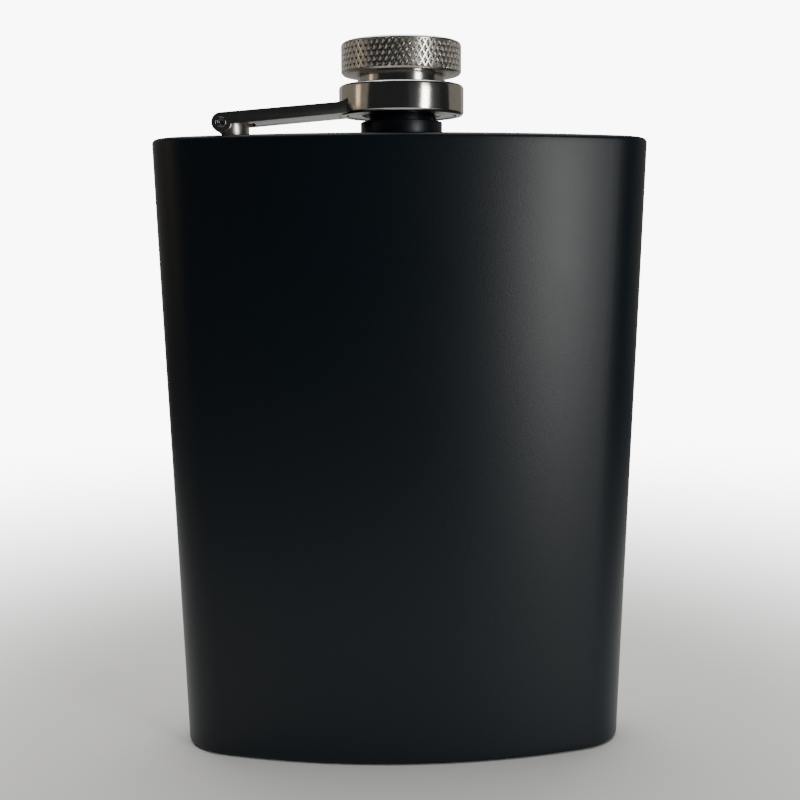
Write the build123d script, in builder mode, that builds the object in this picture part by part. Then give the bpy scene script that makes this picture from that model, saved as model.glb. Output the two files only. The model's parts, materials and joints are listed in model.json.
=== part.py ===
from build123d import *
from math import asin, cos, degrees
import os

# Hip flask: a thin-walled kidney-section bottle with a screw cap held captive on a hinged arm.
# Millimetres. +Z is up, X runs across the wide face, and the face that bows out looks along -Y.
# The origin is on the ground under the middle of the body.

# --- Driving dimensions ---
# Body
body_height = 117.9
shoulder_width = 95.0
foot_width = 86.0
body_thickness = 23.0
hip_radius = 94.0  # of the line midway between the front and back faces
sheet = 0.6
plate_thickness = 0.8
plate_rim = 1.8  # height of each pressed plate's turned edge
edge_round = 0.9

# Neck
neck_bore_radius = 5.2
neck_wall = 0.75  # left under the thread
neck_thread_depth = 0.55
neck_shoulder_lap = 0.55  # of the neck's shoulder under the crest of the insert's thread
neck_shank_height = 2.6
neck_thread_height = 4.15
neck_spigot_depth = 1.2  # below the top plate
thread_lead = 1.5

# Cap: threaded insert, finger grip, seal and the flange that keeps it captive
insert_gap = 1.2  # insert's end above the neck's shoulder
insert_recess = 0.1  # insert's end above the collar's lower edge
thread_play = 0.55  # radial, between the crests of the two threads
insert_thread_depth = 0.45
insert_wall = 0.65  # left outside the insert's thread
seal_thickness = 1.65
seal_gap = 0.05
seal_play = 0.2
head_radius = 11.15
head_height = 5.8
head_crown = 1.4
head_lower_chamfer = 0.4
head_upper_round = 0.6
ring_running_gap = 0.05
ring_side_gap = 0.3  # to the collar's wall
ring_recess = 0.1  # above the collar's lower edge
ring_thickness = 1.0

# Collar
collar_radius = 11.6
collar_height = 5.5
collar_wall = 1.4
collar_roof = 1.0
collar_hole_gap = 0.25
collar_lower_chamfer = 0.4
collar_upper_round = 0.65
head_gap = 1.95  # between the collar and the head with the cap screwed down

# Arm and hinge
arm_reach = 32.9  # from the cap's axis to the hinge pin
arm_width = 11.8
arm_end_radius = 1.8
arm_hinge_thickness = 2.2
arm_collar_thickness = 1.9
arm_drop = 3.4  # from the collar's top to the arm's top
arm_sweep = 2.0  # length over which the arm's top curves up to the collar
arm_sweep_rise = 0.8
pin_radius = 0.95
pin_proud = 0.1
pin_dimple_radius = 0.5
pin_dimple_depth = 0.6
hinge_running_gap = 0.05
fork_side_gap = 0.25
arm_plate_gap = 0.45
bracket_width = 8.0
bracket_sheet = 0.8
bracket_bend = 3.2
bracket_web_reach = 4.5  # from the pin's axis to the face of the web
bracket_foot_start = 0.2  # from the pin's axis to the near end of the ears' foot
bracket_web_height = 2.6
bracket_ear_radius = 1.6
fork_end_gap = 1.2  # from the bracket's web to the end of the fork's slot
fork_corner = 2.0

os.makedirs("parts", exist_ok=True)


# --- Where things are ---
def bow_angle(width):
    """Half the angle that the middle line of a section turns through."""
    return asin((width - body_thickness) / 2 / hip_radius)


def width_at(height):
    return foot_width + (shoulder_width - foot_width) * height / body_height


# Halves the bow front to back, so that the origin is under the middle of the body.
middle_y = -hip_radius * (1 - cos(bow_angle(shoulder_width))) / 2
cap_axis = Axis((0, middle_y, 0), (0, 0, 1))
cap_plane = Plane((0, middle_y, 0), x_dir=(1, 0, 0), z_dir=(0, -1, 0))  # across the flask, through the cap

neck_shoulder = body_height + neck_shank_height
neck_top = neck_shoulder + neck_thread_height
neck_thread_radius = neck_bore_radius + neck_wall + neck_thread_depth
neck_spigot_radius = neck_bore_radius + neck_wall

insert_bottom = neck_shoulder + insert_gap
insert_bore = neck_thread_radius + thread_play
insert_radius = insert_bore + insert_thread_depth + insert_wall
neck_shank_radius = insert_bore + neck_shoulder_lap
seal_bottom = neck_top + seal_gap
insert_floor = seal_bottom + seal_thickness

collar_bottom = insert_bottom - insert_recess
collar_room_radius = collar_radius - collar_wall
ring_radius = collar_room_radius - ring_side_gap
collar_top = collar_bottom + collar_height
head_bottom = collar_top + head_gap
head_top = head_bottom + head_height

pivot_x = -arm_reach
pivot_z = body_height + arm_plate_gap + arm_end_radius


def kidney(width, inset=0.0):
    """Section of the body of this outside width: a bowed slot with full round ends."""
    reach = degrees(bow_angle(width))
    bow = CenterArc((0, middle_y + hip_radius), hip_radius, 270 - reach, 2 * reach, mode=Mode.PRIVATE)
    SlotArc(bow, body_thickness - 2 * inset)


# --- Body: sleeve and two pressed plates, all cut from one outside shape and one hollow ---
with BuildPart() as outside:
    with BuildSketch(Plane.XY):
        kidney(foot_width)
    with BuildSketch(Plane.XY.offset(body_height)):
        kidney(shoulder_width)
    loft(ruled=True)
    fillet(outside.edges().group_by(Axis.Z)[-1], edge_round)
    fillet(outside.edges().group_by(Axis.Z)[0], edge_round)

with BuildPart() as hollow:
    with BuildSketch(Plane.XY.offset(plate_thickness)):
        kidney(width_at(plate_thickness), inset=sheet)
    with BuildSketch(Plane.XY.offset(body_height - plate_thickness)):
        kidney(width_at(body_height - plate_thickness), inset=sheet)
    loft(ruled=True)

with BuildPart() as body_sleeve:
    add(outside.part)
    split(bisect_by=Plane.XY.offset(plate_rim), keep=Keep.TOP)
    split(bisect_by=Plane.XY.offset(body_height - plate_rim), keep=Keep.BOTTOM)
    add(hollow.part, mode=Mode.SUBTRACT)

with BuildPart() as bottom_plate:
    add(outside.part)
    split(bisect_by=Plane.XY.offset(plate_rim), keep=Keep.BOTTOM)
    add(hollow.part, mode=Mode.SUBTRACT)

with BuildPart() as top_plate:
    add(outside.part)
    split(bisect_by=Plane.XY.offset(body_height - plate_rim), keep=Keep.TOP)
    add(hollow.part, mode=Mode.SUBTRACT)
    with Locations((0, middle_y, body_height)):
        Hole(neck_spigot_radius)


# --- Neck: turned spout, its spigot in the plate's hole ---
def thread_grooves(radius, depth, lowest, highest):
    """Section of V grooves one lead apart, in a wall at this radius between two heights."""
    count = int((highest - lowest) / thread_lead)
    margin = (highest - lowest - (count - 1) * thread_lead) / 2
    with BuildSketch(cap_plane) as grooves:
        with Locations(*[(radius, lowest + margin + n * thread_lead) for n in range(count)]):
            Rectangle(depth * 2**0.5, depth * 2**0.5, rotation=45)
    return grooves.sketch


with BuildPart() as neck:
    with BuildSketch(cap_plane):
        with BuildLine():
            Polyline(
                (neck_bore_radius, body_height - neck_spigot_depth),
                (neck_spigot_radius, body_height - neck_spigot_depth),
                (neck_spigot_radius, body_height),
                (neck_shank_radius, body_height),
                (neck_shank_radius, neck_shoulder),
                (neck_thread_radius, neck_shoulder),
                (neck_thread_radius, neck_top),
                (neck_bore_radius, neck_top),
                close=True,
            )
        make_face()
    revolve(axis=cap_axis)
    neck_grooves = thread_grooves(neck_thread_radius, neck_thread_depth, neck_shoulder, neck_top)
    revolve(neck_grooves, axis=cap_axis, mode=Mode.SUBTRACT)

# --- Hinge bracket: sheet folded to a U, its web towards the neck, its ears drilled for the pin ---
def pin_circle(radius):
    with BuildSketch(cap_plane) as circle:
        with Locations((pivot_x, pivot_z)):
            Circle(radius)
    return circle.sketch


bracket_end_x = pivot_x - bracket_ear_radius
bracket_web_x = pivot_x + bracket_web_reach

with BuildPart() as hinge_bracket:
    with BuildSketch(Plane.XY.offset(body_height)):
        with BuildLine():
            fold_x = bracket_web_x - bracket_sheet / 2
            fold_y = (bracket_width - bracket_sheet) / 2
            FilletPolyline(
                (bracket_end_x, middle_y - fold_y),
                (fold_x, middle_y - fold_y),
                (fold_x, middle_y + fold_y),
                (bracket_end_x, middle_y + fold_y),
                radius=bracket_bend - bracket_sheet / 2,
            )
        trace(line_width=bracket_sheet)
    extrude(amount=pivot_z + bracket_ear_radius - body_height)
    with BuildSketch(cap_plane):
        with Locations((pivot_x + bracket_foot_start, body_height)):
            Rectangle(bracket_web_reach - bracket_foot_start, bracket_web_height, align=Align.MIN)
        with Locations((pivot_x, pivot_z)):
            Circle(bracket_ear_radius)
        make_hull()
    extrude(amount=bracket_width, both=True, mode=Mode.INTERSECT)
    extrude(pin_circle(pin_radius + hinge_running_gap), amount=bracket_width, both=True, mode=Mode.SUBTRACT)

# --- Hinge pin: rivet with dimpled ends, tight in the arm and free in the bracket ---
with BuildPart() as hinge_pin:
    extrude(pin_circle(pin_radius), amount=arm_width / 2 + pin_proud, both=True)
    with Locations(*hinge_pin.faces().filter_by(Axis.Y)):
        Hole(pin_dimple_radius, pin_dimple_depth)

# --- Arm: forked lever, a little thinner towards the collar, its top curving up to the collar's wall ---
arm_top_z = collar_top - arm_drop
arm_meet_x = -collar_radius / 2  # inside the collar, which cuts the arm's end to its own curve
sweep_end_x = -((collar_radius**2 - (arm_width / 2) ** 2) ** 0.5)
slot_end_x = bracket_web_x + fork_end_gap

with BuildPart() as arm:
    with BuildSketch(cap_plane):
        with BuildLine():
            top = Line((pivot_x, pivot_z + arm_end_radius), (sweep_end_x - arm_sweep, arm_top_z))
            sweep = TangentArc(top @ 1, (sweep_end_x, arm_top_z + arm_sweep_rise), tangent=top % 1)
            Polyline(
                sweep @ 1,
                (arm_meet_x, arm_top_z + arm_sweep_rise),
                (arm_meet_x, arm_top_z - arm_collar_thickness),
                (sweep_end_x, arm_top_z - arm_collar_thickness),
                (pivot_x, pivot_z + arm_end_radius - arm_hinge_thickness),
                top @ 0,
            )
        make_face()
        with Locations((pivot_x, pivot_z)):
            Circle(arm_end_radius)
    extrude(amount=arm_width / 2, both=True)
    with BuildSketch(Plane.XY.offset(body_height)):
        slot_length = 2 * (slot_end_x - pivot_x)
        with Locations((slot_end_x - slot_length / 2, middle_y)):
            RectangleRounded(slot_length, bracket_width + 2 * fork_side_gap, fork_corner)
    extrude(amount=head_top - body_height, mode=Mode.SUBTRACT)
    with Locations((0, middle_y, 0)):
        Cylinder(collar_radius, head_top, align=(Align.CENTER, Align.CENTER, Align.MIN), mode=Mode.SUBTRACT)
    extrude(pin_circle(pin_radius), amount=arm_width, both=True, mode=Mode.SUBTRACT)

# --- Collar: shallow cup, roof up, that the cap's insert passes through ---
collar_hole_radius = insert_radius + collar_hole_gap

with BuildPart() as collar:
    with BuildSketch(cap_plane) as collar_section:
        with Locations((collar_hole_radius, collar_bottom)):
            Rectangle(collar_radius - collar_hole_radius, collar_height, align=Align.MIN)
        chamfer(collar_section.vertices().group_by(Axis.X)[-1].sort_by(Axis.Y)[0], collar_lower_chamfer)
        fillet(collar_section.vertices().group_by(Axis.Y)[-1].sort_by(Axis.X)[-1], collar_upper_round)
        with Locations((collar_hole_radius, collar_bottom)):
            Rectangle(
                collar_room_radius - collar_hole_radius,
                collar_height - collar_roof,
                align=Align.MIN,
                mode=Mode.SUBTRACT,
            )
    revolve(axis=cap_axis)

# --- Cap head: finger grip, chamfered below, with a blind socket for the insert ---
with BuildPart() as cap_head:
    with BuildSketch(cap_plane) as head_section:
        with Locations((0, head_bottom)):
            Rectangle(head_radius, head_height, align=Align.MIN)
        rim_corners = head_section.vertices().group_by(Axis.X)[-1].sort_by(Axis.Y)
        chamfer(rim_corners[0], head_lower_chamfer)
        fillet(rim_corners[-1], head_upper_round)
        with Locations((0, head_bottom)):
            Rectangle(insert_radius, head_height - head_crown, align=Align.MIN, mode=Mode.SUBTRACT)
    revolve(axis=cap_axis)

# --- Cap insert: the threaded part of the cap, solid above the seal, pressed into the head ---
with BuildPart() as cap_sleeve:
    with BuildSketch(cap_plane):
        with BuildLine():
            Polyline(
                (insert_bore, insert_bottom),
                (insert_radius, insert_bottom),
                (insert_radius, head_top - head_crown),
                (0, head_top - head_crown),
                (0, insert_floor),
                (insert_bore, insert_floor),
                close=True,
            )
        make_face()
    revolve(axis=cap_axis)
    insert_grooves = thread_grooves(insert_bore, insert_thread_depth, insert_bottom, neck_top)
    revolve(insert_grooves, axis=cap_axis, mode=Mode.SUBTRACT)

# --- Retaining ring: flange round the insert's lower end, free to turn on it ---
with BuildPart() as retaining_ring:
    with BuildSketch(Plane(cap_axis).offset(collar_bottom + ring_recess)):
        Circle(ring_radius)
        Circle(insert_radius + ring_running_gap, mode=Mode.SUBTRACT)
    extrude(amount=ring_thickness)

# --- Gasket: soft disc in the insert that seals on the neck ---
with BuildPart() as gasket:
    with BuildSketch(Plane(cap_axis).offset(seal_bottom)):
        Circle(insert_bore - seal_play)
    extrude(amount=seal_thickness)

pieces = {
    "body_sleeve": body_sleeve,
    "top_plate": top_plate,
    "bottom_plate": bottom_plate,
    "neck": neck,
    "hinge_bracket": hinge_bracket,
    "hinge_pin": hinge_pin,
    "arm": arm,
    "collar": collar,
    "cap_head": cap_head,
    "cap_sleeve": cap_sleeve,
    "retaining_ring": retaining_ring,
    "gasket": gasket,
}
for name, piece in pieces.items():
    piece.part.label = name
    export_step(piece.part, f"parts/{name}.step")
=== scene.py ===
import json
from math import asin, cos, pi, radians, sin

import bpy
from mathutils import Matrix, Vector

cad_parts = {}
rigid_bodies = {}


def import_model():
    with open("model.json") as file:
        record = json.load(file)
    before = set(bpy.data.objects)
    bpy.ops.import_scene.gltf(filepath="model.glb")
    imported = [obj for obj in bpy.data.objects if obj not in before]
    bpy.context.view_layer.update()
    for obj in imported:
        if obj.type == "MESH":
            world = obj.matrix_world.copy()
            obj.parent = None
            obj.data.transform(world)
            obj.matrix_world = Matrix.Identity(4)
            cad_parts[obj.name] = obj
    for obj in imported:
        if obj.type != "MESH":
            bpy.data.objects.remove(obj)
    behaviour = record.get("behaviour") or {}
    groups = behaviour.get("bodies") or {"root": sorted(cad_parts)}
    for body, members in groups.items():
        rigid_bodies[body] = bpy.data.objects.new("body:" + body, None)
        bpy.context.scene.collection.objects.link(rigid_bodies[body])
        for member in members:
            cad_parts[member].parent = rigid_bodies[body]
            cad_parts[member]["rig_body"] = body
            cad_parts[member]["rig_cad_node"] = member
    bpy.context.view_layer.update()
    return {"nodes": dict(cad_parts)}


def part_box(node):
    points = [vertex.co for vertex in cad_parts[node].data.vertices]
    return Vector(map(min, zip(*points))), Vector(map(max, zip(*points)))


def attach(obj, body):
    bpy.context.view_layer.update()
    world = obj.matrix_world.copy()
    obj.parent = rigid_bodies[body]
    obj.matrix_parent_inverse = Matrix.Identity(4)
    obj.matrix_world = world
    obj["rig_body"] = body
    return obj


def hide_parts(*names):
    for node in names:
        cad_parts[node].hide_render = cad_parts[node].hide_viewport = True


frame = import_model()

# --- Studio ---
# A pale floor fading into white air. A small bright window at the front right puts a hard stripe on
# the metal and a soft streak on the coat, with a dim cool wall behind it. Dimmer warm panels stand
# at the sides and behind, one hangs overhead, and the room behind the camera is dark.
mouth_axis = Vector((0, (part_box("neck")[0].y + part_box("neck")[1].y) / 2, 0))
camera_distance = 0.241
camera_height = 0.09836
camera_side = -0.00055
camera_turn = radians(1.53)
camera_dip = radians(7.1)
camera_roll = radians(-0.31)
lens_in_image_widths = 1.5836

camera_data = bpy.data.cameras.new("studio_camera")
camera_data.sensor_width = 36
camera_data.lens = lens_in_image_widths * camera_data.sensor_width
camera_data.clip_start = 0.01
camera = bpy.data.objects.new("studio_camera", camera_data)
bpy.context.scene.collection.objects.link(camera)
camera.matrix_world = (
    Matrix.Translation(mouth_axis)
    @ Matrix.Rotation(-camera_turn, 4, "Z")
    @ Matrix.Translation((camera_side, -camera_distance, camera_height))
    @ Matrix.Rotation(pi / 2 - camera_dip, 4, "X")
    @ Matrix.Rotation(camera_roll, 4, "Z")
)
bpy.context.scene.camera = camera


def soft_panel(name, bearing, rise, distance, width, tall, brightness, colour, lean=0):
    """A lit panel at this bearing from straight in front and this rise above the cap, facing it."""
    light = bpy.data.lights.new(name, "AREA")
    light.shape = "RECTANGLE"
    light.size = width
    light.size_y = tall
    light.energy = brightness * pi * width * tall
    light.color = colour
    stand = bpy.data.objects.new(name, light)
    bpy.context.scene.collection.objects.link(stand)
    cap_middle = mouth_axis + Vector((0, 0, camera_height))
    away = Vector((sin(bearing) * cos(rise), -cos(bearing) * cos(rise), sin(rise)))
    facing = away.to_track_quat("Z", "Y").to_matrix().to_4x4()
    stand.matrix_world = (
        Matrix.Translation(cap_middle + distance * away) @ facing @ Matrix.Rotation(lean, 4, "Z")
    )
    return stand


soft_panel("window", radians(42), radians(3), 0.8, 0.17, 0.30, 18, (1.0, 1.0, 0.98), radians(-8))
soft_panel("cool_wall", radians(42), radians(3), 0.95, 1.1, 0.50, 0.03, (0.70, 0.88, 1.0))
soft_panel("left_panel", radians(-107), radians(14), 0.7, 1.25, 0.50, 0.24, (1.0, 0.88, 0.74))
soft_panel("left_gap", radians(-87), radians(9), 0.68, 0.11, 0.14, 1.6, (1.0, 0.74, 0.48))
soft_panel("right_panel", radians(122), radians(10), 0.7, 0.70, 0.50, 0.23, (1.0, 0.92, 0.80))
soft_panel("back_panel", radians(180), radians(-2), 0.9, 1.3, 0.8, 0.34, (1.0, 0.98, 0.95))
soft_panel("overhead_panel", radians(180), radians(78), 1.1, 1.2, 1.2, 3.4, (1.0, 0.99, 0.97))

world = bpy.data.worlds.new("studio_air")
bpy.context.scene.world = world
world.use_nodes = True
air = world.node_tree.nodes
air_links = world.node_tree.links
seen = air["Background"]
seen.inputs["Color"].default_value = (1, 1, 1, 1)
seen.inputs["Strength"].default_value = 9
felt = air.new("ShaderNodeBackground")
felt.inputs["Color"].default_value = (0.85, 0.95, 1.0, 1)
felt.inputs["Strength"].default_value = 0.03
which_ray = air.new("ShaderNodeLightPath")
mix_air = air.new("ShaderNodeMixShader")
air_links.new(which_ray.outputs["Is Camera Ray"], mix_air.inputs["Fac"])
air_links.new(felt.outputs["Background"], mix_air.inputs[1])
air_links.new(seen.outputs["Background"], mix_air.inputs[2])
air_links.new(mix_air.outputs["Shader"], air["World Output"].inputs["Surface"])

floor_solid_to = 0.07
floor_gone_at = 0.42
bpy.ops.object.select_all(action="DESELECT")
bpy.ops.mesh.primitive_circle_add(
    vertices=96, radius=floor_gone_at, fill_type="NGON", location=(0, 0, 0)
)
studio_floor = bpy.context.object
studio_floor.name = "studio_floor"
floor_paint = bpy.data.materials.new("pale_floor")
floor_paint.use_nodes = True
floor_nodes = floor_paint.node_tree.nodes
floor_links = floor_paint.node_tree.links
floor_skin = floor_nodes["Principled BSDF"]
floor_skin.inputs["Base Color"].default_value = (0.86, 0.86, 0.85, 1)
floor_skin.inputs["Roughness"].default_value = 0.9
floor_place = floor_nodes.new("ShaderNodeTexCoord")
floor_reach = floor_nodes.new("ShaderNodeVectorMath")
floor_reach.operation = "LENGTH"
floor_fade = floor_nodes.new("ShaderNodeMapRange")
floor_fade.interpolation_type = "SMOOTHSTEP"
floor_fade.inputs["From Min"].default_value = floor_gone_at
floor_fade.inputs["From Max"].default_value = floor_solid_to
floor_links.new(floor_place.outputs["Object"], floor_reach.inputs[0])
floor_links.new(floor_reach.outputs["Value"], floor_fade.inputs["Value"])
floor_links.new(floor_fade.outputs["Result"], floor_skin.inputs["Alpha"])
studio_floor.data.materials.append(floor_paint)

# --- Body sleeve ---
# One strip of thin stainless sheet rolled to a bowed section with full round ends, drawn in towards
# the foot, laser-welded down its edge, ground smooth and coated in matt black powder.
body_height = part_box("top_plate")[1].z
shoulder_width = 0.095
foot_width = 0.086
body_thickness = 0.023
hip_radius = 0.094
sheet = 0.0006
plate_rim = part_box("bottom_plate")[1].z
arc_steps = 28
end_steps = 28
taper_steps = 15
merge_reach = 1e-6
start_size = 0.001


def start_point(where):
    """One selected point at this place, in the mesh that is open in edit mode."""
    bpy.ops.mesh.primitive_plane_add(size=start_size)
    bpy.ops.mesh.merge(type="CENTER")
    here = Vector(bpy.context.scene.cursor.location)
    bpy.ops.transform.translate(value=Vector(where) - here)


def open_piece(name):
    """A new empty mesh object, open in edit mode."""
    bpy.ops.object.select_all(action="DESELECT")
    bpy.ops.mesh.primitive_plane_add(size=start_size, location=(0, 0, 0))
    piece = bpy.context.object
    piece.name = name
    piece.data.name = name
    bpy.ops.object.mode_set(mode="EDIT")
    bpy.ops.mesh.select_mode(type="VERT")
    bpy.ops.mesh.select_all(action="SELECT")
    bpy.ops.mesh.delete(type="VERT")
    return piece


def close_mesh():
    """Merges doubles, turns every face outwards and leaves edit mode."""
    bpy.ops.mesh.select_all(action="SELECT")
    bpy.ops.mesh.remove_doubles(threshold=merge_reach)
    bpy.ops.mesh.normals_make_consistent(inside=False)
    bpy.ops.object.mode_set(mode="OBJECT")


def bow_ring(height):
    """The body's outline at this height: arcs spun round the front, one end, the back, the other."""
    width = foot_width + (shoulder_width - foot_width) * height / body_height
    end_x = (width - body_thickness) / 2
    turn = asin(end_x / hip_radius)
    bow_centre = Vector((0, mouth_axis.y + hip_radius, height))
    end_y = bow_centre.y - hip_radius * cos(turn)
    start_point((0, mouth_axis.y - body_thickness / 2, height))
    up = (0, 0, 1)
    bpy.ops.mesh.spin(steps=arc_steps, angle=-turn, center=bow_centre, axis=up)
    bpy.ops.mesh.spin(steps=end_steps, angle=-pi, center=(end_x, end_y, height), axis=up)
    bpy.ops.mesh.spin(steps=2 * arc_steps, angle=2 * turn, center=bow_centre, axis=up)
    bpy.ops.mesh.spin(steps=end_steps, angle=-pi, center=(-end_x, end_y, height), axis=up)
    bpy.ops.mesh.spin(steps=arc_steps, angle=-turn, center=bow_centre, axis=up)
    bpy.ops.mesh.select_all(action="SELECT")
    bpy.ops.mesh.remove_doubles(threshold=merge_reach)


def apply_all(piece):
    bpy.ops.object.select_all(action="DESELECT")
    piece.select_set(True)
    bpy.context.view_layer.objects.active = piece
    for modifier in list(piece.modifiers):
        bpy.ops.object.modifier_apply(modifier=modifier.name)


def thicken(piece, wall):
    shell = piece.modifiers.new("wall", "SOLIDIFY")
    shell.thickness = wall
    shell.offset = -1
    shell.use_even_offset = True


def new_paint(name):
    """A material, its node tree and the output that gives a point's place in the object."""
    paint = bpy.data.materials.new(name)
    paint.use_nodes = True
    place = paint.node_tree.nodes.new("ShaderNodeTexCoord").outputs["Object"]
    return paint, paint.node_tree, place


def add_noise(tree, place, scale, detail):
    noise = tree.nodes.new("ShaderNodeTexNoise")
    noise.inputs["Scale"].default_value = scale
    noise.inputs["Detail"].default_value = detail
    tree.links.new(place, noise.inputs["Vector"])
    return noise


def add_tint(tree, noise, dark, light, low, high):
    """Base colour that runs from dark to light as the noise goes from low to high."""
    tint = tree.nodes.new("ShaderNodeValToRGB")
    for stop, position, colour in zip(tint.color_ramp.elements, (low, high), (dark, light)):
        stop.position = position
        stop.color = (*colour, 1)
    tree.links.new(noise.outputs["Fac"], tint.inputs["Fac"])
    tree.links.new(tint.outputs["Color"], tree.nodes["Principled BSDF"].inputs["Base Color"])


def add_gloss(tree, noise, least, most):
    gloss = tree.nodes.new("ShaderNodeMapRange")
    gloss.inputs["To Min"].default_value = least
    gloss.inputs["To Max"].default_value = most
    tree.links.new(noise.outputs["Fac"], gloss.inputs["Value"])
    tree.links.new(gloss.outputs["Result"], tree.nodes["Principled BSDF"].inputs["Roughness"])


def add_relief(tree, noise, strength, depth):
    relief = tree.nodes.new("ShaderNodeBump")
    relief.inputs["Strength"].default_value = strength
    relief.inputs["Distance"].default_value = depth
    tree.links.new(noise.outputs["Fac"], relief.inputs["Height"])
    tree.links.new(relief.outputs["Normal"], tree.nodes["Principled BSDF"].inputs["Normal"])


def powder_coat():
    """Matt black powder coat: a very fine orange-peel grain and a faint cloudiness in its gloss."""
    coat, tree, place = new_paint("black_powder_coat")
    tree.nodes["Principled BSDF"].inputs["IOR"].default_value = 1.5
    tree.nodes["Principled BSDF"].inputs["Specular IOR Level"].default_value = 0.3
    grain = add_noise(tree, place, scale=3200, detail=3)
    grain.inputs["Roughness"].default_value = 0.6
    cloud = add_noise(tree, place, scale=45, detail=4)
    dark, light = (0.0022, 0.0062, 0.0105), (0.0040, 0.0088, 0.0135)
    add_tint(tree, grain, dark, light, low=0.3, high=0.75)
    add_gloss(tree, cloud, least=0.33, most=0.40)
    add_relief(tree, grain, strength=0.5, depth=0.00003)
    return coat


black_coat = powder_coat()


def finish_piece(piece, body, node, material, smooth=30):
    """Gives a made piece its material, shading and place in the frame."""
    apply_all(piece)
    bpy.ops.object.shade_smooth_by_angle(angle=radians(smooth))
    piece.data.materials.clear()
    piece.data.materials.append(material)
    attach(piece, body)
    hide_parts(node)


sleeve = open_piece("sleeve_wrap")
bow_ring(plate_rim)
bow_ring(body_height - plate_rim)
bpy.ops.mesh.select_all(action="SELECT")
bpy.ops.mesh.bridge_edge_loops(number_cuts=taper_steps)
close_mesh()
thicken(sleeve, sheet)
finish_piece(sleeve, "flask", "body_sleeve", black_coat)

# --- Top and bottom plates ---
# Two pressed steel plates with turned rims, butted to the sleeve, welded and ground so that only
# the rounded edge shows. The top one is pierced for the neck.
plate_sheet = 0.0008
edge_round = 0.0009
neck_hole_radius = 0.00595
hole_cutter_depth = 0.01
face_inset = edge_round * 0.4
edge_round_steps = 7


def pick(piece, kind, wanted):
    """Selects the wanted points, edges or faces of the mesh that is open in edit mode."""
    bpy.ops.mesh.select_mode(type=kind)
    bpy.ops.mesh.select_all(action="DESELECT")
    bpy.ops.object.mode_set(mode="OBJECT")
    mesh = piece.data
    for item in {"VERT": mesh.vertices, "EDGE": mesh.edges, "FACE": mesh.polygons}[kind]:
        item.select = wanted(item)
    bpy.ops.object.mode_set(mode="EDIT")


def pressed_plate(name, rim_height, face_height):
    plate = open_piece(name)

    def on_rim(edge):
        ends = [plate.data.vertices[v].co.z for v in edge.vertices]
        return all(abs(height - face_height) < merge_reach for height in ends)

    bow_ring(rim_height)
    bow_ring(face_height)
    bpy.ops.mesh.select_all(action="SELECT")
    bpy.ops.mesh.bridge_edge_loops()
    pick(plate, "EDGE", on_rim)
    bpy.ops.mesh.edge_face_add()
    pick(plate, "EDGE", on_rim)
    bpy.ops.mesh.bevel(offset=edge_round, segments=edge_round_steps, affect="EDGES")
    pick(plate, "FACE", lambda face: len(face.vertices) > 8 and abs(face.normal.z) > 0.99)
    bpy.ops.mesh.inset(thickness=face_inset)
    close_mesh()
    return plate


top_cover = pressed_plate("shoulder_plate", body_height - plate_rim, body_height)
thicken(top_cover, plate_sheet)
bpy.ops.mesh.primitive_cylinder_add(
    vertices=96,
    radius=neck_hole_radius,
    depth=hole_cutter_depth,
    location=(0, mouth_axis.y, body_height),
)
hole_cutter = bpy.context.object
pierce = top_cover.modifiers.new("pierce", "BOOLEAN")
pierce.object = hole_cutter
pierce.operation = "DIFFERENCE"
finish_piece(top_cover, "flask", "top_plate", black_coat)
bpy.data.objects.remove(hole_cutter)

foot_cover = pressed_plate("foot_plate", plate_rim, 0.0)
thicken(foot_cover, plate_sheet)
finish_piece(foot_cover, "flask", "bottom_plate", black_coat)

# --- Neck ---
# A turned steel spout let into the top plate and coated with the body: plain shank below, then a
# coarse thread of a little over two turns, and a plain bore right through.
neck_bore = 0.0052
neck_spigot = neck_hole_radius
neck_shank = 0.0076
neck_foot, neck_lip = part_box("neck")[0].z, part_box("neck")[1].z
neck_shoulder = body_height + 0.0026
thread_root = 0.0060
thread_crest = 0.0065
thread_lead = 0.0015
thread_start = 0.0001
thread_sink = 0.00005
thread_runout_turns = 0.75
thread_steps_a_turn = 64
ridge_half = thread_lead * 0.36
ridge_flank = ridge_half * 0.85
ridge_flat = ridge_half * 0.3
round_steps = 128


def turned_piece(name, outline):
    """Draws a closed outline of (radius, height) points and spins it round the cap's axis."""
    piece = open_piece(name)
    start_point((outline[0][0], mouth_axis.y, outline[0][1]))
    for (radius_a, height_a), (radius_b, height_b) in zip(outline, outline[1:]):
        step = (radius_b - radius_a, 0, height_b - height_a)
        bpy.ops.mesh.extrude_vertices_move(TRANSFORM_OT_translate={"value": step})
    bpy.ops.mesh.select_all(action="SELECT")
    bpy.ops.mesh.spin(steps=round_steps, angle=2 * pi, center=mouth_axis, axis=(0, 0, 1))
    close_mesh()
    return piece


def soften(piece, width, segments=3, limit=35):
    edge = piece.modifiers.new("soften", "BEVEL")
    edge.width = width
    edge.segments = segments
    edge.limit_method = "ANGLE"
    edge.angle_limit = radians(limit)


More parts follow.
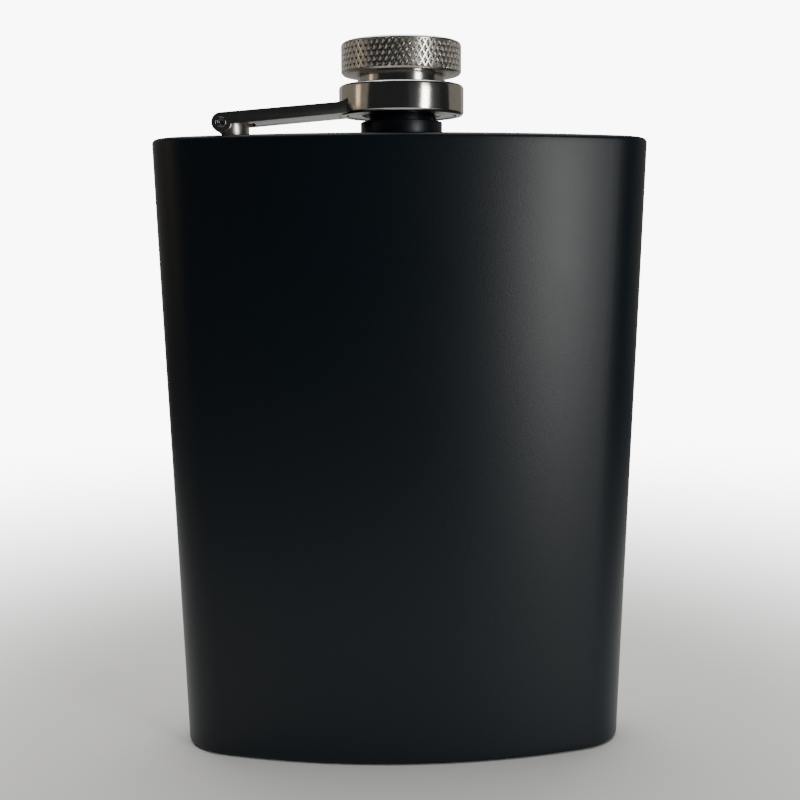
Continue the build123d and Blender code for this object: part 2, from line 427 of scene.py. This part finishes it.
def thread_ridge(piece, root, crest, low, high):
    """Winds a ridge of the thread's lead round the wall, from low to high, and joins it on."""
    turns = (high - low) / thread_lead - thread_runout_turns
    ridge = open_piece("ridge")
    sink = thread_sink if crest > root else -thread_sink
    start_point((root - sink, 0, low))
    rise = crest - root + sink
    for step in ((rise, 0, ridge_flank), (0, 0, ridge_flat), (-rise, 0, ridge_flank)):
        bpy.ops.mesh.extrude_vertices_move(TRANSFORM_OT_translate={"value": step})
    bpy.ops.mesh.select_all(action="SELECT")
    bpy.ops.mesh.edge_face_add()
    bpy.ops.mesh.delete(type="ONLY_FACE")
    bpy.ops.object.mode_set(mode="OBJECT")
    winding = ridge.modifiers.new("winding", "SCREW")
    winding.axis = "Z"
    winding.angle = 2 * pi * turns
    winding.screw_offset = thread_lead * turns
    winding.steps = int(thread_steps_a_turn * turns)
    winding.render_steps = winding.steps
    winding.use_normal_calculate = True
    ridge.location = mouth_axis
    apply_all(ridge)
    bpy.ops.object.transform_apply(location=True)
    bpy.ops.object.mode_set(mode="EDIT")
    bpy.ops.mesh.select_all(action="DESELECT")
    bpy.ops.mesh.select_non_manifold()
    bpy.ops.mesh.fill_holes(sides=0)
    close_mesh()
    bpy.ops.object.select_all(action="DESELECT")
    ridge.select_set(True)
    piece.select_set(True)
    bpy.context.view_layer.objects.active = piece
    bpy.ops.object.join()


spout = turned_piece(
    "spout",
    [
        (neck_bore, neck_foot),
        (neck_spigot, neck_foot),
        (neck_spigot, body_height),
        (neck_shank, body_height),
        (neck_shank, neck_shoulder),
        (thread_root, neck_shoulder),
        (thread_root, neck_lip),
        (neck_bore, neck_lip),
        (neck_bore, neck_foot),
    ],
)
soften(spout, 0.00018)
apply_all(spout)
thread_ridge(spout, thread_root, thread_crest, neck_shoulder + thread_start, neck_lip)
finish_piece(spout, "flask", "neck", black_coat)

# --- Hinge bracket, pin and arm ---
# The bracket is folded from stainless strip and spot-welded to the top plate. The arm is a small
# polished casting, forked round the bracket and riveted to it by a pin with dimpled ends.
def polished_steel(name, colour, roughness):
    """Stainless steel tumbled smooth: fine wandering scratches and small clouds of haze."""
    steel, tree, place = new_paint(name)
    tree.nodes["Principled BSDF"].inputs["Metallic"].default_value = 1.0
    cloud = add_noise(tree, place, scale=420, detail=5)
    add_tint(tree, cloud, [part * 0.90 for part in colour], colour, low=0.3, high=0.7)
    add_gloss(tree, cloud, least=roughness * 0.75, most=roughness * 1.3)
    stretch = tree.nodes.new("ShaderNodeMapping")
    stretch.inputs["Scale"].default_value = (0.25, 1, 1)
    tree.links.new(place, stretch.inputs["Vector"])
    marks = add_noise(tree, stretch.outputs["Vector"], scale=2600, detail=4)
    add_relief(tree, marks, strength=0.3, depth=0.00001)
    return steel


flat_angle = radians(1.5)
arm_steel = polished_steel("arm_steel", (0.60, 0.57, 0.53), 0.16)
bracket_steel = polished_steel("bracket_steel", (0.46, 0.42, 0.39), 0.30)
# The pin's steel colour is darkened well below the arm's: painted shade that keeps its rims and
# dimple from catching light.
pin_steel_painted_shade = polished_steel("pin_steel_painted_shade", (0.22, 0.21, 0.21), 0.26)


def from_frame(node, name, edge_width):
    """A merged copy of a frame part with its flats cleaned up and its edges broken."""
    bpy.ops.object.select_all(action="DESELECT")
    piece = frame["nodes"][node].copy()
    piece.data = frame["nodes"][node].data.copy()
    piece.name = name
    piece.data.name = name
    piece.parent = None
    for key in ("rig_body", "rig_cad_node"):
        if key in piece:
            del piece[key]
    bpy.context.scene.collection.objects.link(piece)
    piece.select_set(True)
    bpy.context.view_layer.objects.active = piece
    bpy.ops.mesh.customdata_custom_splitnormals_clear()
    bpy.ops.object.mode_set(mode="EDIT")
    bpy.ops.mesh.select_all(action="SELECT")
    bpy.ops.mesh.remove_doubles(threshold=merge_reach)
    bpy.ops.mesh.dissolve_limited(angle_limit=flat_angle)
    bpy.ops.object.mode_set(mode="OBJECT")
    soften(piece, edge_width)
    return piece


bracket = from_frame("hinge_bracket", "folded_bracket", 0.00012)
finish_piece(bracket, "flask", "hinge_bracket", bracket_steel)
rivet = from_frame("hinge_pin", "hinge_rivet", 0.00015)
finish_piece(rivet, "lever", "hinge_pin", pin_steel_painted_shade)
lever_arm = from_frame("arm", "forked_arm", 0.0003)
finish_piece(lever_arm, "lever", "arm", arm_steel)

# --- Collar ---
# A turned and polished steel cup, roof up, brazed to the arm. The cap turns and lifts inside it.
# The lathe leaves very fine rings that the polish softens.
def turned_steel(name, colour, roughness, ring_scale, ring_depth):
    """Steel off the lathe: rings that follow the turning, over a light polish."""
    steel, tree, place = new_paint(name)
    tree.nodes["Principled BSDF"].inputs["Metallic"].default_value = 1.0
    centre = tree.nodes.new("ShaderNodeVectorMath")
    centre.operation = "SUBTRACT"
    centre.inputs[1].default_value = mouth_axis
    tree.links.new(place, centre.inputs[0])
    split = tree.nodes.new("ShaderNodeSeparateXYZ")
    tree.links.new(centre.outputs["Vector"], split.inputs["Vector"])
    flat = tree.nodes.new("ShaderNodeCombineXYZ")
    tree.links.new(split.outputs["X"], flat.inputs["X"])
    tree.links.new(split.outputs["Y"], flat.inputs["Y"])
    reach = tree.nodes.new("ShaderNodeVectorMath")
    reach.operation = "LENGTH"
    tree.links.new(flat.outputs["Vector"], reach.inputs[0])
    turned = tree.nodes.new("ShaderNodeCombineXYZ")
    tree.links.new(reach.outputs["Value"], turned.inputs["X"])
    tree.links.new(split.outputs["Z"], turned.inputs["Y"])
    rings = add_noise(tree, turned.outputs["Vector"], scale=ring_scale, detail=3)
    cloud = add_noise(tree, place, scale=500, detail=5)
    add_tint(tree, cloud, [part * 0.88 for part in colour], colour, low=0.3, high=0.7)
    add_gloss(tree, rings, least=roughness * 0.8, most=roughness * 1.25)
    add_relief(tree, rings, strength=0.35, depth=ring_depth)
    return steel


collar_low, collar_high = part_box("collar")[0].z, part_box("collar")[1].z
collar_radius = (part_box("collar")[1].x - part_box("collar")[0].x) / 2
collar_wall = 0.0014
collar_room = collar_radius - collar_wall
collar_roof = 0.001
collar_hole = 0.0084
lower_chamfer = 0.0004
upper_round = 0.00065
collar_steel = turned_steel("collar_steel", (0.62, 0.585, 0.54), 0.13, 9000, 0.000006)


def rounded_corner(radius, height, size, steps=6):
    """Points down a quarter round, from the flat top of a turned piece to its side."""
    turns = [pi / 2 * step / steps for step in range(steps + 1)]
    return [(radius - size + size * sin(turn), height - size + size * cos(turn)) for turn in turns]


collar_cup = turned_piece(
    "collar_cup",
    [
        (collar_room, collar_low),
        (collar_radius - lower_chamfer, collar_low),
        (collar_radius, collar_low + lower_chamfer),
        *reversed(rounded_corner(collar_radius, collar_high, upper_round)),
        (collar_hole, collar_high),
        (collar_hole, collar_high - collar_roof),
        (collar_room, collar_high - collar_roof),
        (collar_room, collar_low),
    ],
)
soften(collar_cup, 0.00012, 3, 40)
finish_piece(collar_cup, "lever", "collar", collar_steel)

# --- Cap head ---
# A finger grip turned from steel bar: flat below, rounded over above, its rim rolled by a pair of
# knurling wheels into crossing ridges with sunk diamonds between them.
head_low, head_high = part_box("cap_head")[0].z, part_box("cap_head")[1].z
head_radius = (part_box("cap_head")[1].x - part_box("cap_head")[0].x) / 2
insert_radius = 0.00815
head_chamfer = 0.0004
head_round = 0.0006
head_crown = 0.0014
knurl_depth = 0.00045
knurl_count = 60
knurl_sink = 0.00003
knurl_low = head_low + head_chamfer + knurl_sink
knurl_high = head_high - head_round - knurl_sink
knurl_width = 2 * pi * head_radius / knurl_count
knurl_tall = knurl_width * 1.72
half_turn = pi / knurl_count
knurl_rows = int((knurl_high - knurl_low) / knurl_tall * 2) + 3
crest_width = knurl_width * 0.09
wall_width = knurl_width * 0.05
wall_depth = knurl_depth * 0.35
pit_depth = knurl_depth * 0.6
knurl_merge_reach = 2e-6
knurl_root = (head_radius - 1.6 * knurl_depth) / head_radius
core_radius = head_radius - knurl_depth - knurl_sink

head_steel = turned_steel("head_steel", (0.60, 0.57, 0.53), 0.27, 9000, 0.000008)
grip = turned_piece(
    "cap_grip",
    [
        (insert_radius, head_low),
        (head_radius - head_chamfer, head_low),
        (head_radius - knurl_sink, head_low + head_chamfer),
        (core_radius, knurl_low),
        (core_radius, knurl_high),
        *reversed(rounded_corner(head_radius - knurl_sink, head_high, head_round)),
        (0, head_high),
        (0, head_high - head_crown),
        (insert_radius, head_high - head_crown),
        (insert_radius, head_low),
    ],
)
soften(grip, 0.0001, 3, 40)
apply_all(grip)

bpy.ops.object.select_all(action="DESELECT")
bpy.ops.mesh.primitive_circle_add(vertices=4, radius=1, fill_type="NGON")
knurl = bpy.context.object
knurl.name = "knurl"
bpy.ops.object.mode_set(mode="EDIT")
bpy.ops.mesh.select_all(action="SELECT")
half_size = (head_radius * sin(half_turn), knurl_tall / 2, 1)
bpy.ops.transform.resize(value=half_size, center_override=(0, 0, 0))
bpy.ops.transform.rotate(value=pi / 2, orient_axis="X", center_override=(0, 0, 0))
pick(knurl, "VERT", lambda corner: abs(corner.co.x) < merge_reach)
bpy.ops.transform.translate(value=(0, -head_radius * (1 - cos(half_turn)), 0))
bpy.ops.mesh.select_all(action="SELECT")
first_row = (0, mouth_axis.y - head_radius * cos(half_turn), knurl_low)
bpy.ops.transform.translate(value=first_row)
bpy.ops.mesh.normals_make_consistent(inside=False)
bpy.ops.mesh.select_mode(type="FACE")
bpy.ops.mesh.select_all(action="SELECT")
bpy.ops.mesh.inset(thickness=crest_width)
bpy.ops.mesh.inset(thickness=wall_width, depth=wall_depth)
bpy.ops.mesh.poke(offset=pit_depth)
bpy.ops.mesh.select_all(action="SELECT")
bpy.ops.mesh.spin(
    steps=knurl_count, dupli=True, angle=2 * pi, center=mouth_axis, axis=(0, 0, 1)
)
bpy.ops.mesh.select_all(action="SELECT")
bpy.ops.mesh.remove_doubles(threshold=knurl_merge_reach)
bpy.ops.mesh.select_all(action="SELECT")
for row in range(1, knurl_rows):
    bpy.ops.mesh.duplicate()
    bpy.ops.transform.rotate(value=half_turn, orient_axis="Z", center_override=mouth_axis)
    bpy.ops.transform.translate(value=(0, 0, knurl_tall / 2))
bpy.ops.mesh.select_all(action="SELECT")
bpy.ops.mesh.remove_doubles(threshold=knurl_merge_reach)
for cut, outwards in ((knurl_low, (0, 0, -1)), (knurl_high, (0, 0, 1))):
    bpy.ops.mesh.select_all(action="SELECT")
    bpy.ops.mesh.bisect(plane_co=(0, 0, cut), plane_no=outwards, clear_outer=True)
bpy.ops.mesh.select_all(action="DESELECT")
bpy.ops.mesh.select_mode(type="EDGE")
bpy.ops.mesh.select_non_manifold()
bpy.ops.mesh.extrude_edges_move()
bpy.ops.transform.resize(value=(knurl_root, knurl_root, 1), center_override=mouth_axis)
bpy.ops.mesh.bridge_edge_loops()
close_mesh()
bpy.ops.object.select_all(action="DESELECT")
knurl.select_set(True)
grip.select_set(True)
bpy.context.view_layer.objects.active = grip
bpy.ops.object.join()
finish_piece(grip, "cap", "cap_head", head_steel, smooth=20)

# --- Cap insert ---
# The threaded half of the cap: a steel plug bored and threaded from below, pressed into the head.
# Its plain outside shows in the groove between the head and the collar.
insert_low, insert_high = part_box("cap_sleeve")[0].z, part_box("cap_sleeve")[1].z
insert_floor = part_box("gasket")[1].z
thread_relief = 0.0018
insert_root = 0.0074
insert_crest = 0.00706
insert_steel = turned_steel("insert_steel", (0.56, 0.54, 0.51), 0.15, 7000, 0.000008)
insert_plug = turned_piece(
    "threaded_plug",
    [
        (insert_root, insert_low),
        (insert_radius, insert_low),
        (insert_radius, insert_high),
        (0, insert_high),
        (0, insert_floor),
        (insert_root, insert_floor),
        (insert_root, insert_low),
    ],
)
soften(insert_plug, 0.0001)
apply_all(insert_plug)
insert_thread_low = insert_low + thread_start
insert_thread_high = insert_floor - thread_relief
thread_ridge(insert_plug, insert_root, insert_crest, insert_thread_low, insert_thread_high)
finish_piece(insert_plug, "cap", "cap_sleeve", insert_steel)

# --- Retaining ring ---
# A steel flange swaged round the insert's lower end: it stops the cap from leaving the collar.
ring_low, ring_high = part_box("retaining_ring")[0].z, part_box("retaining_ring")[1].z
ring_radius = (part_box("retaining_ring")[1].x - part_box("retaining_ring")[0].x) / 2
ring_bore = 0.0082
captive_ring = turned_piece(
    "captive_ring",
    [
        (ring_bore, ring_low),
        (ring_radius, ring_low),
        (ring_radius, ring_high),
        (ring_bore, ring_high),
        (ring_bore, ring_low),
    ],
)
soften(captive_ring, 0.0002)
finish_piece(captive_ring, "ring", "retaining_ring", insert_steel)

# --- Gasket ---
# A disc of pale food-grade silicone pressed into the insert. The neck leaves a shallow groove in
# it, a little wider than its own wall.
seal_low, seal_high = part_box("gasket")[0].z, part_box("gasket")[1].z
seal_radius = (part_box("gasket")[1].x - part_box("gasket")[0].x) / 2
seal_dent = 0.0002
seal_dent_flank = 0.0001
silicone, seal_tree, seal_place = new_paint("seal_silicone")
rubber = seal_tree.nodes["Principled BSDF"]
rubber.inputs["Roughness"].default_value = 0.55
rubber.inputs["Subsurface Weight"].default_value = 0.2
rubber.inputs["Subsurface Scale"].default_value = 0.001
seal_noise = add_noise(seal_tree, seal_place, scale=900, detail=2)
seal_dark, seal_light = (0.60, 0.59, 0.54), (0.74, 0.73, 0.68)
add_tint(seal_tree, seal_noise, seal_dark, seal_light, low=0.0, high=1.0)
seal = turned_piece(
    "seal_disc",
    [
        (0, seal_low),
        (neck_bore - seal_dent, seal_low),
        (neck_bore, seal_low + seal_dent),
        (thread_crest, seal_low + seal_dent),
        (thread_crest + seal_dent_flank, seal_low),
        (seal_radius, seal_low),
        (seal_radius, seal_high),
        (0, seal_high),
        (0, seal_low),
    ],
)
soften(seal, 0.00012)
finish_piece(seal, "cap", "gasket", silicone)
